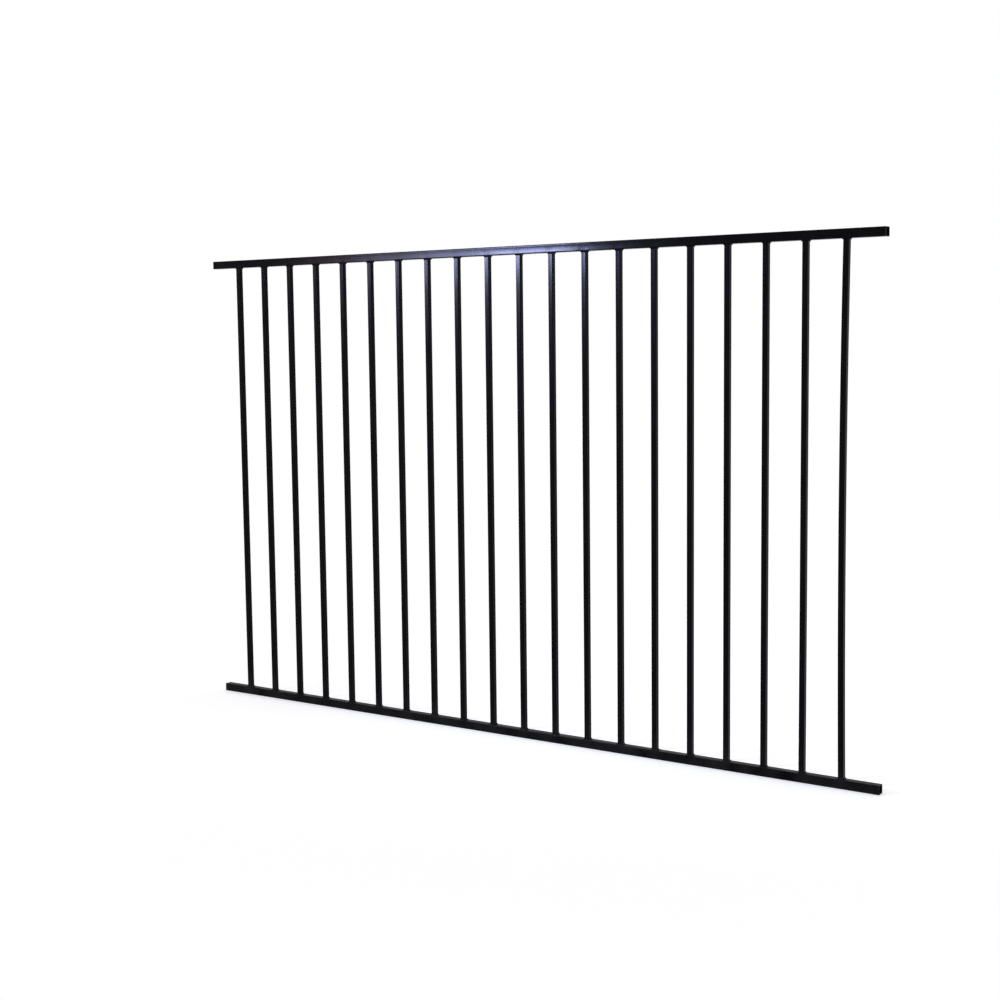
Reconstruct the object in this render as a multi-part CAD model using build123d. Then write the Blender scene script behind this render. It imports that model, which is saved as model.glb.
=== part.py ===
"""Welded steel fence panel: two square-tube rails with a row of square-tube pickets between them.

Millimetres. X runs along the rails, Y from the front to the back, Z up.
The origin is the centre of the bottom rail's left end face, where a post bracket holds the panel.
"""

import os
from math import sqrt

from build123d import *

# Rails: open-ended square tube, one along the foot of the panel and one along its head.
rail_length = 2362.0
rail_width = 25.4
rail_wall = 1.5
rail_bend = 0.8  # corner radius inside the tube

# Pickets: thinner square tube, cut to fit between the rails and welded to them.
panel_height = 1473.0  # over both rails
picket_width = 15.9
picket_wall = 1.2
picket_bend = 0.6  # corner radius inside the tube
picket_gap = 97.0  # clear space from one picket to the next
bracket_room = 90.0  # least bare rail past the end pickets, for the post brackets
picket_bow = 5.5  # the right-hand picket is bent by this much at half height

# Fillet welds on all four faces of each picket, at its head and its foot.
weld_leg = 4.0  # up the picket, and along the rail to its left and right
weld_crown = 0.4  # how far the bead's face swells past a flat fillet
weld_root = 0.5  # how far a bead is drawn into the picket before it is trimmed to it

# Sizes that follow from those above.
rail_spacing = panel_height - rail_width
picket_foot = rail_width / 2
picket_head = rail_spacing - rail_width / 2
picket_length = picket_head - picket_foot
picket_corner = picket_bend + picket_wall
picket_pitch = picket_width + picket_gap
picket_count = int((rail_length - 2 * bracket_room) // picket_pitch) + 1
first_picket = (rail_length - (picket_count - 1) * picket_pitch) / 2
ledge = (rail_width - picket_width) / 2  # bare rail in front of a picket and behind it
weld_toe = ledge / 2  # the bead's leg there, short of the rail's rounded edge
weld_length = picket_width - 2 * picket_corner


def tube_section(width, wall, bend):
    """Cross-section of a rolled square tube, its corners bent round and its wall even."""
    outside = RectangleRounded(width, width, bend + wall)
    inside = RectangleRounded(width - 2 * wall, width - 2 * wall, bend)
    return outside - inside


def rail(height):
    """A level rail whose centre line is at this height."""
    section = tube_section(rail_width, rail_wall, rail_bend)
    return Pos(0, 0, height) * extrude(Plane.YZ * section, amount=rail_length)


def straight_picket():
    section = tube_section(picket_width, picket_wall, picket_bend)
    return Pos(0, 0, picket_foot) * extrude(section, amount=picket_length)


def bent_picket():
    """A picket whose two ends are on the Z axis, bowed towards -X between them and cut level."""
    middle = (picket_foot + picket_head) / 2
    radius = ((picket_length / 2) ** 2 + picket_bow**2) / (2 * picket_bow)
    reach = picket_length / 2 + picket_wall  # past both ends, to be cut off
    past_end = radius - picket_bow - sqrt(radius**2 - reach**2)
    path = ThreePointArc(
        (past_end, 0, middle - reach),
        (-picket_bow, 0, middle),
        (past_end, 0, middle + reach),
    )
    section = tube_section(picket_width, picket_wall, picket_bend)
    bar = sweep(Plane(path @ 0, x_dir=(1, 0, 0), z_dir=path % 0) * section, path)
    span = picket_pitch + picket_bow
    return bar & Pos(0, 0, middle) * Box(span, span, picket_length)


def weld_bead(on_rail):
    """A fillet bead on the right-hand face of a picket at the origin, with this leg along the rail."""
    toe = (on_rail, 0)
    top = (0, weld_leg)
    slope = sqrt(on_rail**2 + weld_leg**2)
    crown = (
        on_rail / 2 + weld_crown * weld_leg / slope,
        weld_leg / 2 + weld_crown * on_rail / slope,
    )
    root = Polyline(top, (-weld_root, weld_leg), (-weld_root, 0), toe)
    profile = Plane.XZ * make_face(root + ThreePointArc(toe, crown, top))
    return Pos(picket_width / 2, 0, 0) * extrude(profile, amount=weld_length / 2, both=True)


def weld():
    """The four beads round a picket that stands at the origin."""
    legs = {0: weld_leg, 90: weld_toe, 180: weld_leg, 270: weld_toe}
    return [Rot(0, 0, turn) * weld_bead(leg) for turn, leg in legs.items()]


def weld_row(pickets, height, turn):
    """The welds along one rail, each bead trimmed to its picket; turn is 0 at the feet, 180 at the heads."""
    beads = []
    for x, picket in pickets.items():
        place = Pos(x, 0, height) * Rot(turn, 0, 0)
        beads += [place * bead - picket for bead in weld()]
    return Compound(children=beads)


def main():
    places = [first_picket + i * picket_pitch for i in range(picket_count)]
    pickets = {x: Pos(x, 0, 0) * straight_picket() for x in places[:-1]}
    pickets[places[-1]] = Pos(places[-1], 0, 0) * bent_picket()
    nodes = {
        "bottom_rail": rail(0),
        "top_rail": rail(rail_spacing),
        "bottom_welds": weld_row(pickets, picket_foot, 0),
        "top_welds": weld_row(pickets, picket_head, 180),
    }
    for number, picket in enumerate(pickets.values(), start=1):
        nodes[f"picket_{number:02d}"] = picket
    os.makedirs("parts", exist_ok=True)
    for name, shape in nodes.items():
        export_step(shape, f"parts/{name}.step")


main()
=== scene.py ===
import math
import random

import bmesh
import bpy
from mathutils import Matrix, Vector


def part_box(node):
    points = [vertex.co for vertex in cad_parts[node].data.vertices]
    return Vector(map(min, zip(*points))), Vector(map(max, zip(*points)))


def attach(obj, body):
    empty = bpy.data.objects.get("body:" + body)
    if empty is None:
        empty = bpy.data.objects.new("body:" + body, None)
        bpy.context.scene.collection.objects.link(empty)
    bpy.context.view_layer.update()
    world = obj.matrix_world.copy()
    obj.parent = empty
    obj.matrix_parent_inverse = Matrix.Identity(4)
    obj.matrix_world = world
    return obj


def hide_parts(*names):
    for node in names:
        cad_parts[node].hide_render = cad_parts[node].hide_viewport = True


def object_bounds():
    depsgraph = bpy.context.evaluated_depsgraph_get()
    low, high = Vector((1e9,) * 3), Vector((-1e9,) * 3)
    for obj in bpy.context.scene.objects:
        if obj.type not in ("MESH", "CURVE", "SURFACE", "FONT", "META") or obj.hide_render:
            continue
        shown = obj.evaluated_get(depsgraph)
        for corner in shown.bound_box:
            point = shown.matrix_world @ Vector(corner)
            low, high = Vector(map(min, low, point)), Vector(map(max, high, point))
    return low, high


# a welded fence panel in black powder coat: two square-tube rails with square-tube pickets between them
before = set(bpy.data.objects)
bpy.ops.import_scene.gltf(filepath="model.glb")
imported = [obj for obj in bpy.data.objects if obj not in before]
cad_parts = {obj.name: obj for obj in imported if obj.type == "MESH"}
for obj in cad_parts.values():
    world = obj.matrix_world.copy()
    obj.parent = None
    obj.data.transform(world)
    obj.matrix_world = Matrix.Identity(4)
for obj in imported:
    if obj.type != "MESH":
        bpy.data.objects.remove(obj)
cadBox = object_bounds()
cadMiddle = (cadBox[0] + cadBox[1]) / 2
scene = bpy.context.scene
picketNodes = sorted(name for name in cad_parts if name.startswith("picket_"))
chance = random.Random(4)
tiny = 1e-6  # metres
noiseMiddle = 0.5
print("frame loaded,", len(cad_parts), "nodes")


# shader maths as plain expressions: a Socket is one output of a node
class Socket:
    def __init__(self, shader, socket):
        self.shader = shader
        self.socket = socket

    def __add__(self, other):
        return self.shader.maths("ADD", self, other)

    def __sub__(self, other):
        return self.shader.maths("SUBTRACT", self, other)

    def __rsub__(self, other):
        return self.shader.maths("SUBTRACT", other, self)

    def __mul__(self, other):
        return self.shader.maths("MULTIPLY", self, other)

    def __abs__(self):
        return self.shader.maths("ABSOLUTE", self, 0)

    __radd__ = __add__
    __rmul__ = __mul__


class Shader:
    def __init__(self, owner):
        owner.use_nodes = True
        self.tree = owner.node_tree
        self.tree.nodes.clear()

    # a node's settings come first, then the values or links of its sockets
    def node(self, kind, settings=None, sockets=None, out=0):
        made = self.tree.nodes.new(kind)
        for name, value in (settings or {}).items():
            if name == "stops":
                for stop, (place, shade) in zip(made.color_ramp.elements, value):
                    stop.position = place
                    stop.color = (shade, shade, shade, 1)
            else:
                setattr(made, name, value)
        for name, value in (sockets or {}).items():
            if isinstance(value, Socket):
                self.tree.links.new(value.socket, made.inputs[name])
            else:
                made.inputs[name].default_value = value
        return Socket(self, made.outputs[out]) if made.outputs else None

    def maths(self, operation, a, b):
        return self.node("ShaderNodeMath", {"operation": operation}, {0: a, 1: b})

    def axis(self, vector, letter):
        return self.node("ShaderNodeSeparateXYZ", None, {"Vector": vector}, out=letter)

    def noise(self, place, scale, detail):
        return self.node("ShaderNodeTexNoise", None, {"Vector": place, "Scale": scale, "Detail": detail})

    def stretch(self, place, scale):
        return self.node("ShaderNodeMapping", None, {"Vector": place, "Scale": scale})

    # 1 where the value is full, easing off to 0 where it is gone
    def fade(self, value, full, gone):
        easing = {"interpolation_type": "SMOOTHSTEP"}
        return self.node("ShaderNodeMapRange", easing, {0: value, 1: gone, 2: full})

    # 0 up to the lower limit, 1 from the higher one
    def ramp(self, value, limits):
        low, high = limits
        return self.node("ShaderNodeValToRGB", {"stops": ((low, 0), (high, 1))}, {"Fac": value})

    def blend(self, factor, a, b):
        return self.node("ShaderNodeMix", {"data_type": "RGBA"}, {0: factor, 6: a, 7: b}, out=2)

    def bump(self, relief):
        return self.node("ShaderNodeBump", None, {"Strength": 1, "Distance": 1, "Height": relief})


powderCoat = {
    "black": (0.0007, 0.0007, 0.0011, 1),  # deep black with a blue cast
    "thin": (0.0019, 0.0018, 0.0026, 1),  # slightly lighter where the coat is thin
    "specular": 0.042,
    "clouds": 14,  # soft patches to the metre
    "thinClouds": (0.35, 0.70),
    "cloudGloss": 0.06,  # how far the roughness changes with them
    "peelSize": 0.0024,  # orange peel
    "peelHeight": 0.0000015,
    "waveLength": 0.16,  # slow waves that rolling leaves in the tube
    "waveWidth": 0.007,
    "waveHeight": 0.000012,
}
weathering = {
    "dust": (0.050, 0.049, 0.048, 1),
    "upward": (0.55, 0.95),  # how far up a face looks before dust settles on it
    "settled": 0.5,  # even dust
    "settledClouds": 0.6,  # and dust in patches
    "settledTint": 0.12,
    "settledDull": 0.30,
    "lowPatchHeight": 0.11,  # how far above the ground the coat turns lighter and duller, in patches
    "lowPatchClouds": (0.30, 0.75),
    "lowPatchTint": 0.25,
    "lowPatchDull": 0.15,
    "nibs": 520,  # grit caught under the coat, to the metre
    "nibPeaks": (0.735, 0.775),
    "nibTint": 0.12,
}
weldPull = {
    "core": 0.004,  # this near a picket's middle line the heat of its weld drew the rail in fully
    "reach": 0.019,  # and this far from it not at all
    "depth": 0.00009,
}


# how far the rails are drawn in, from 1 at a weld to 0 away from it
def drawnIn(shader, place):
    low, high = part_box(picketNodes[0])
    middle = (low + high) / 2
    pitch = (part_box(picketNodes[-1])[1].x - high.x) / (len(picketNodes) - 1)
    aside = shader.maths("PINGPONG", shader.axis(place, "X") - middle.x, pitch / 2)
    beyond = abs(shader.axis(place, "Z") - middle.z) - (high.z - low.z) / 2
    nearPicket = shader.fade(aside, weldPull["core"], weldPull["reach"])
    nearEnd = shader.fade(beyond, 0, weldPull["reach"])
    return nearPicket * nearEnd


# powder coat on tube that runs along one axis
def coatMaterial(name, along, roughness):
    material = bpy.data.materials.new(name)
    shader = Shader(material)
    place = shader.node("ShaderNodeTexCoord", out="Object")
    cloud = shader.noise(place, powderCoat["clouds"], detail=3)
    thin = shader.ramp(cloud, powderCoat["thinClouds"])
    coat = shader.blend(thin, powderCoat["black"], powderCoat["thin"])

    waveScale = [1 / powderCoat["waveLength" if axis == along else "waveWidth"] for axis in "XYZ"]
    waves = shader.noise(shader.stretch(place, waveScale), 1, detail=1)
    peel = shader.noise(place, 1 / powderCoat["peelSize"], detail=2)
    relief = powderCoat["waveHeight"] * waves + powderCoat["peelHeight"] * peel
    if along == "X":
        relief = relief - weldPull["depth"] * drawnIn(shader, place)

    lookingUp = shader.axis(shader.node("ShaderNodeNewGeometry", out="Normal"), "Z")
    settled = weathering["settled"] + weathering["settledClouds"] * cloud
    settled = settled * shader.ramp(lookingUp, weathering["upward"])
    height = shader.axis(place, "Z") - cadBox[0].z
    # the coat is lighter and duller in patches towards the ground
    lowPatches = shader.ramp(cloud, weathering["lowPatchClouds"])
    lowPatches = lowPatches * shader.fade(height, 0, weathering["lowPatchHeight"])
    nibs = shader.ramp(shader.noise(place, weathering["nibs"], detail=1), weathering["nibPeaks"])
    tint = weathering["settledTint"] * settled + weathering["lowPatchTint"] * lowPatches
    dull = weathering["settledDull"] * settled + weathering["lowPatchDull"] * lowPatches

    surface = shader.node("ShaderNodeBsdfPrincipled", None, {
        "Base Color": shader.blend(tint + weathering["nibTint"] * nibs, coat, weathering["dust"]),
        "Roughness": roughness + powderCoat["cloudGloss"] * (cloud - noiseMiddle) + dull,
        "Specular IOR Level": powderCoat["specular"],
        "Normal": shader.bump(relief),
    })
    shader.node("ShaderNodeOutputMaterial", None, {"Surface": surface})
    return material


tubeInside = {
    "steel": (0.060, 0.058, 0.055, 1),
    "stain": (0.028, 0.020, 0.015, 1),
    "stains": 60,  # to the metre
    "stainPatches": (0.40, 0.62),
    "overspray": (0.0022, 0.0022, 0.0028, 1),  # coat blown into the open ends
    "reach": 0.12,  # how deep it goes
    "ragged": 0.06,  # how uneven its edge is
    "grain": 700,
    "grainHeight": 0.00001,
    "roughness": 0.50,
    "grainDull": 0.15,
    "metallic": 0.35,
    "specular": 0.15,
}


def insideMaterial(name):
    material = bpy.data.materials.new(name)
    shader = Shader(material)
    place = shader.node("ShaderNodeTexCoord", out="Object")
    stain = shader.ramp(shader.noise(place, tubeInside["stains"], detail=4), tubeInside["stainPatches"])
    steel = shader.blend(stain, tubeInside["steel"], tubeInside["stain"])
    grain = shader.noise(place, tubeInside["grain"], detail=2)
    fromMiddle = abs(shader.axis(place, "X") - cadMiddle.x)
    depth = cadBox[1].x - cadMiddle.x - fromMiddle + tubeInside["ragged"] * (stain - noiseMiddle)
    bare = shader.ramp(depth, (tubeInside["reach"] / 2, tubeInside["reach"]))
    surface = shader.node("ShaderNodeBsdfPrincipled", None, {
        "Base Color": shader.blend(bare, tubeInside["overspray"], steel),
        "Roughness": tubeInside["roughness"] + tubeInside["grainDull"] * grain,
        "Metallic": tubeInside["metallic"] * bare,
        "Specular IOR Level": tubeInside["specular"],
        "Normal": shader.bump(tubeInside["grainHeight"] * grain),
    })
    shader.node("ShaderNodeOutputMaterial", None, {"Surface": surface})
    return material


bareInside = insideMaterial("bareInside")


def ofKind(kind, result):
    return [part for part in result["geom"] if isinstance(part, kind)]


# a square face on z = 0 with its corners rounded and its sides cut into strips
def roundedSquare(bm, size, strips):
    half = size["width"] / 2
    corners = [bm.verts.new((x * half, y * half, 0)) for x, y in ((-1, -1), (1, -1), (1, 1), (-1, 1))]
    bm.faces.new(corners)
    bmesh.ops.bevel(bm, geom=corners, offset=size["corner"], affect="VERTICES",
                    segments=size["bends"], profile=0.5, material=-1)
    sides = [edge for edge in bm.edges if edge.calc_length() > half]
    bmesh.ops.subdivide_edges(bm, edges=sides, cuts=strips - 1)


# rolled tube is a little hollow across each flat
def sinkFlats(bm, size):
    half = size["width"] / 2
    flat = half - size["corner"]
    for vert in bm.verts:
        for across, out in ((0, 1), (1, 0)):
            if abs(vert.co[across]) < flat and abs(vert.co[out]) > half - tiny:
                sink = size["dish"] * (1 - (vert.co[across] / flat) ** 2)
                vert.co[out] -= math.copysign(sink, vert.co[out])


def isOuter(place, size):
    return max(abs(place.x), abs(place.y)) > (size["width"] - size["wall"]) / 2


def isUpright(face):
    return abs(face.normal.z) < 0.5


def rise(edge):
    return abs(edge.verts[0].co.z - edge.verts[1].co.z)


# the coat rounds the cut ends
def roundRims(bm, size):
    rims = [edge for edge in bm.edges
            if rise(edge) < tiny
            and isOuter((edge.verts[0].co + edge.verts[1].co) / 2, size)
            and any(isUpright(face) for face in edge.link_faces)]
    bmesh.ops.bevel(bm, geom=rims, offset=size["rim"], affect="EDGES",
                    segments=2, profile=0.5, material=-1)


# square tube up the z axis from zero, its inner faces in the second material slot
def makeTube(size, length):
    bm = bmesh.new()
    roundedSquare(bm, size, size["strips"])
    sinkFlats(bm, size)
    wall = bmesh.ops.inset_region(bm, faces=bm.faces[:], thickness=size["wall"],
                                  use_boundary=True, use_even_offset=True)["faces"]
    bmesh.ops.delete(bm, geom=[face for face in bm.faces if face not in wall], context="FACES")
    grown = bmesh.ops.extrude_face_region(bm, geom=bm.faces[:], use_keep_orig=True)
    bmesh.ops.translate(bm, verts=ofKind(bmesh.types.BMVert, grown), vec=(0, 0, length))
    bmesh.ops.recalc_face_normals(bm, faces=bm.faces)
    for face in bm.faces:
        if isUpright(face) and not isOuter(face.calc_center_median(), size):
            face.material_index = 1
    if size["rim"]:
        roundRims(bm, size)
    runs = [edge for edge in bm.edges if rise(edge) > length / 2]
    bmesh.ops.subdivide_edges(bm, edges=runs, cuts=size["stations"], use_grid_fill=True)
    return bm


def makeObject(name, bm, materials):
    mesh = bpy.data.meshes.new(name)
    bm.to_mesh(mesh)
    bm.free()
    for material in materials:
        mesh.materials.append(material)
    made = bpy.data.objects.new(name, mesh)
    scene.collection.objects.link(made)
    return made


def addPiece(name, bm, materials, node):
    piece = makeObject(name, bm, materials)
    piece.data.shade_smooth()
    even = piece.modifiers.new("evenNormals", "WEIGHTED_NORMAL")
    even.keep_sharp = True
    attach(piece, "root")
    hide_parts(node)


railTube = {
    "width": 0.0254,
    "wall": 0.0015,
    "corner": 0.0028,
    "bends": 6,  # segments of a corner
    "strips": 8,  # across a flat
    "stations": 15,  # cuts along the length
    "dish": 0.00016,  # how hollow a flat is
    "rim": 0.0003,  # rounding of the cut ends
    "roughness": 0.13,
}
railCoat = coatMaterial("railCoat", "X", railTube["roughness"])


def makeRail(name, node):
    low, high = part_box(node)
    middle = (low + high) / 2
    bm = makeTube(railTube, high.x - low.x)
    lay = Matrix.Translation((low.x, middle.y, middle.z)) @ Matrix.Rotation(math.pi / 2, 4, "Y")
    bmesh.ops.transform(bm, matrix=lay, verts=bm.verts)
    addPiece(name, bm, (railCoat, bareInside), node)


makeRail("topRailTube", "top_rail")
makeRail("bottomRailTube", "bottom_rail")
print("rails made")

picketTube = {
    "width": 0.0159,
    "wall": 0.0012,
    "corner": 0.0018,
    "bends": 6,
    "strips": 6,
    "stations": 15,
    "dish": 0.00006,
    "rim": 0,  # the welds hide the cut ends
    "roughness": 0.165,
    "twist": 0.35,  # how far out of square a picket may be welded, degrees
    "turned": {"picket_11": 0.4, "picket_12": 0.9, "picket_14": 0.6},  # highlights show these further round
}
picketCoat = coatMaterial("picketCoat", "Z", picketTube["roughness"])


# where a picket meets the rails, and how far it is bowed to the left between them
def picketPlace(node):
    low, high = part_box(node)
    bow = max(0, high.x - low.x - picketTube["width"])
    return high.x - picketTube["width"] / 2, low.z, high.z, bow


def makePicket(name, node, twist):
    x, foot, head, bow = picketPlace(node)
    bm = makeTube(picketTube, head - foot)
    bmesh.ops.rotate(bm, verts=bm.verts, cent=(0, 0, 0), matrix=Matrix.Rotation(twist, 3, "Z"))
    half = (head - foot) / 2
    for vert in bm.verts:
        vert.co.x -= bow * (1 - (vert.co.z / half - 1) ** 2)
    bmesh.ops.translate(bm, verts=bm.verts, vec=(x, 0, foot))
    addPiece(name, bm, (picketCoat, bareInside), node)


for node in picketNodes:
    twist = chance.uniform(-1, 1) * picketTube["twist"] + picketTube["turned"].get(node, 0)
    makePicket(node.replace("picket_", "picketTube"), node, math.radians(twist))
print(len(picketNodes), "pickets made")

weldBead = {
    "leg": 0.0033,  # up the picket, and along the rail to its left and right
    "toe": 0.0021,  # along the rail in front and behind
    "uneven": 0.10,  # how far the leg up the picket differs from weld to weld
    "root": 0.0003,  # depth into the steel
    "swell": 1.65,  # 1 is a round bead, 2 a flat one
    "ripple": 0.0021,  # from one ripple to the next
    "rippleHeight": 0.000245,
    "trough": 0.4,  # share of that height below the plain bead
    "lag": 0.4,  # how far a ripple curves back across the bead, in ripples
    "strips": 28,  # along a side of the picket
    "rows": 7,  # from the rail up to the picket
    "roughness": 0.20,
}
weldCoat = coatMaterial("weldCoat", "Y", weldBead["roughness"])


# how far out and up the bead's face is, where share goes from 0 on the rail to 1 on the picket
def beadFace(share, toe, leg, travel):
    turn = share * math.pi / 2
    middle = math.sin(share * math.pi)
    crest = abs(math.sin(math.pi * (travel / weldBead["ripple"] + weldBead["lag"] * middle)))
    bulge = weldBead["rippleHeight"] * (crest - weldBead["trough"]) * middle
    reach = toe * math.cos(turn) ** weldBead["swell"] + bulge
    lift = leg * math.sin(turn) ** weldBead["swell"] + bulge
    return reach, lift


# a rippled bead round a picket that stands on z = 0
def makeBead(swing, phase):
    bm = bmesh.new()
    roundedSquare(bm, picketTube, weldBead["strips"])
    bmesh.ops.delete(bm, geom=bm.faces[:], context="FACES_ONLY")
    stand = bm.verts.layers.float_vector.new("stand")
    outward = bm.verts.layers.float_vector.new("outward")
    travel = bm.verts.layers.float.new("travel")
    core = picketTube["width"] / 2 - picketTube["corner"]
    walked = 0
    last = None
    for vert in sorted(bm.verts, key=lambda v: math.atan2(v.co.y, v.co.x)):
        walked += (vert.co - last).length if last else 0
        last = vert.co.copy()
        inner = Vector((max(-core, min(core, vert.co.x)), max(-core, min(core, vert.co.y)), 0))
        vert[stand] = vert.co
        vert[outward] = (vert.co - inner).normalized()
        vert[travel] = walked

    root = weldBead["root"]
    rows = weldBead["rows"]
    leg = weldBead["leg"] * (1 + weldBead["uneven"] * swing)
    loop = bm.verts[:]
    edges = bm.edges[:]
    # up the bead's face from the rail to the picket, then back in three rows inside the steel
    for row in range(rows + 4):
        if row:
            grown = bmesh.ops.extrude_edge_only(bm, edges=edges)
            loop = ofKind(bmesh.types.BMVert, grown)
            edges = [edge for edge in ofKind(bmesh.types.BMEdge, grown) if edge.is_boundary]
        for vert in loop:
            out = Vector(vert[outward])
            toe = math.hypot(weldBead["leg"] * out.x, weldBead["toe"] * out.y)
            buried = ((-root, leg), (-root, -root), (toe, -root))
            if row > rows:
                reach, lift = buried[row - rows - 1]
            else:
                reach, lift = beadFace(row / rows, toe, leg, vert[travel] + phase)
            vert.co = Vector(vert[stand]) + out * reach + Vector((0, 0, lift))
    bmesh.ops.bridge_loops(bm, edges=[edge for edge in bm.edges if edge.is_boundary])
    bmesh.ops.recalc_face_normals(bm, faces=bm.faces)
    return bm


def makeWeldRow(name, node, atHead):
    row = bmesh.new()
    flip = Matrix.Rotation(math.pi if atHead else 0, 4, "X")
    for picket in picketNodes:
        x, foot, head = picketPlace(picket)[:3]
        bead = makeBead(chance.uniform(-1, 1), chance.random() * weldBead["ripple"])
        halfTurn = Matrix.Rotation(math.pi * chance.randint(0, 1), 4, "Z")
        place = Matrix.Translation((x, 0, head if atHead else foot))
        bmesh.ops.transform(bead, matrix=place @ flip @ halfTurn, verts=bead.verts)
        spare = bpy.data.meshes.new("spare")
        bead.to_mesh(spare)
        bead.free()
        row.from_mesh(spare)
        bpy.data.meshes.remove(spare)
    addPiece(name, row, (weldCoat,), node)


makeWeldRow("topWeldBeads", "top_welds", True)
makeWeldRow("bottomWeldBeads", "bottom_welds", False)
print("welds made")

studio = {
    "ambient": 0.70,  # the world's strength on matt surfaces; seen directly it is white
    "floor": (0.93, 0.93, 0.93, 1),
    "floorReach": 60,
    "floorGap": 0.0005,
    "floorLift": 0.36,  # brings the floor up to the white behind it, for the eye and in reflections
}


def seenDirectly(shader):
    rays = ("Is Camera Ray", "Is Glossy Ray", "Is Transmission Ray")
    return sum(shader.node("ShaderNodeLightPath", out=ray) for ray in rays)


def makeWorld():
    scene.world = bpy.data.worlds.new("paleStudio")
    shader = Shader(scene.world)
    strength = studio["ambient"] + (1 - studio["ambient"]) * seenDirectly(shader)
    light = shader.node("ShaderNodeBackground", None, {"Color": (1, 1, 1, 1), "Strength": strength})
    shader.node("ShaderNodeOutputWorld", None, {"Surface": light})


def makeFloor():
    material = bpy.data.materials.new("paleFloor")
    shader = Shader(material)
    paint = shader.node("ShaderNodeBsdfDiffuse", None, {"Color": studio["floor"]})
    lift = shader.node("ShaderNodeEmission", None, {"Strength": studio["floorLift"] * seenDirectly(shader)})
    surface = shader.node("ShaderNodeAddShader", None, {0: paint, 1: lift})
    shader.node("ShaderNodeOutputMaterial", None, {"Surface": surface})
    bm = bmesh.new()
    bmesh.ops.create_grid(bm, x_segments=1, y_segments=1, size=studio["floorReach"])
    ground = cadBox[0].z - studio["floorGap"]
    bmesh.ops.translate(bm, verts=bm.verts, vec=(cadMiddle.x, cadMiddle.y, ground))
    makeObject("floor", bm, (material,))


# soft boxes side by side in front of the panel, x and z at the middle of each
softBoxes = {
    "keyBox": {"x": -0.91, "z": 2.00, "size": (0.43, 0.70), "power": 18, "colour": (0.53, 0.57, 1.0)},
    "sideBox": {"x": -1.35, "z": 1.95, "size": (0.45, 0.80), "power": 6.4, "colour": (0.56, 0.60, 1.0)},
    "farBox": {"x": -1.80, "z": 1.92, "size": (0.42, 0.80), "power": 2.7, "colour": (0.62, 0.62, 1.0)},
    "endBox": {"x": -2.24, "z": 1.90, "size": (0.48, 0.80), "power": 0.6, "colour": (1.0, 0.62, 0.76)},
}
boxStand = {
    "y": -3.32,
    "turn": -33,  # towards the panel, degrees
    "dip": 8,
    "spread": 48,  # a grid on each box keeps its light off the floor
}


def makeLamps():
    turn, dip, spread = (math.radians(boxStand[name]) for name in ("turn", "dip", "spread"))
    for name, box in softBoxes.items():
        data = bpy.data.lights.new(name, "AREA")
        data.shape = "RECTANGLE"
        data.size, data.size_y = box["size"]
        data.energy = box["power"]
        data.color = box["colour"]
        data.spread = spread
        lamp = bpy.data.objects.new(name, data)
        lamp.location = (box["x"], boxStand["y"], box["z"])
        lamp.rotation_euler = (math.pi / 2 - dip, 0, turn)
        lamp.visible_camera = False
        scene.collection.objects.link(lamp)


photoView = {
    "place": (3.8313, -3.8593, 1.1859),
    "turn": 34.707,  # to the left of straight ahead, degrees
    "dip": 5.8353,
    "roll": -0.6943,
    "lens": 56.368,  # millimetres, as the sensor
    "sensor": 36,
    "farClip": 200,
}


def makeCamera():
    data = bpy.data.cameras.new("photoCamera")
    data.lens = photoView["lens"]
    data.sensor_width = photoView["sensor"]
    data.clip_end = photoView["farClip"]
    camera = bpy.data.objects.new("photoCamera", data)
    turn, dip, roll = (math.radians(photoView[name]) for name in ("turn", "dip", "roll"))
    camera.matrix_world = (
        Matrix.Translation(photoView["place"])
        @ Matrix.Rotation(turn, 4, "Z")
        @ Matrix.Rotation(math.pi / 2 - dip, 4, "X")
        @ Matrix.Rotation(roll, 4, "Z")
    )
    scene.collection.objects.link(camera)
    scene.camera = camera


makeWorld()
makeFloor()
makeLamps()
makeCamera()
scene.view_settings.view_transform = "Standard"
print("studio ready")
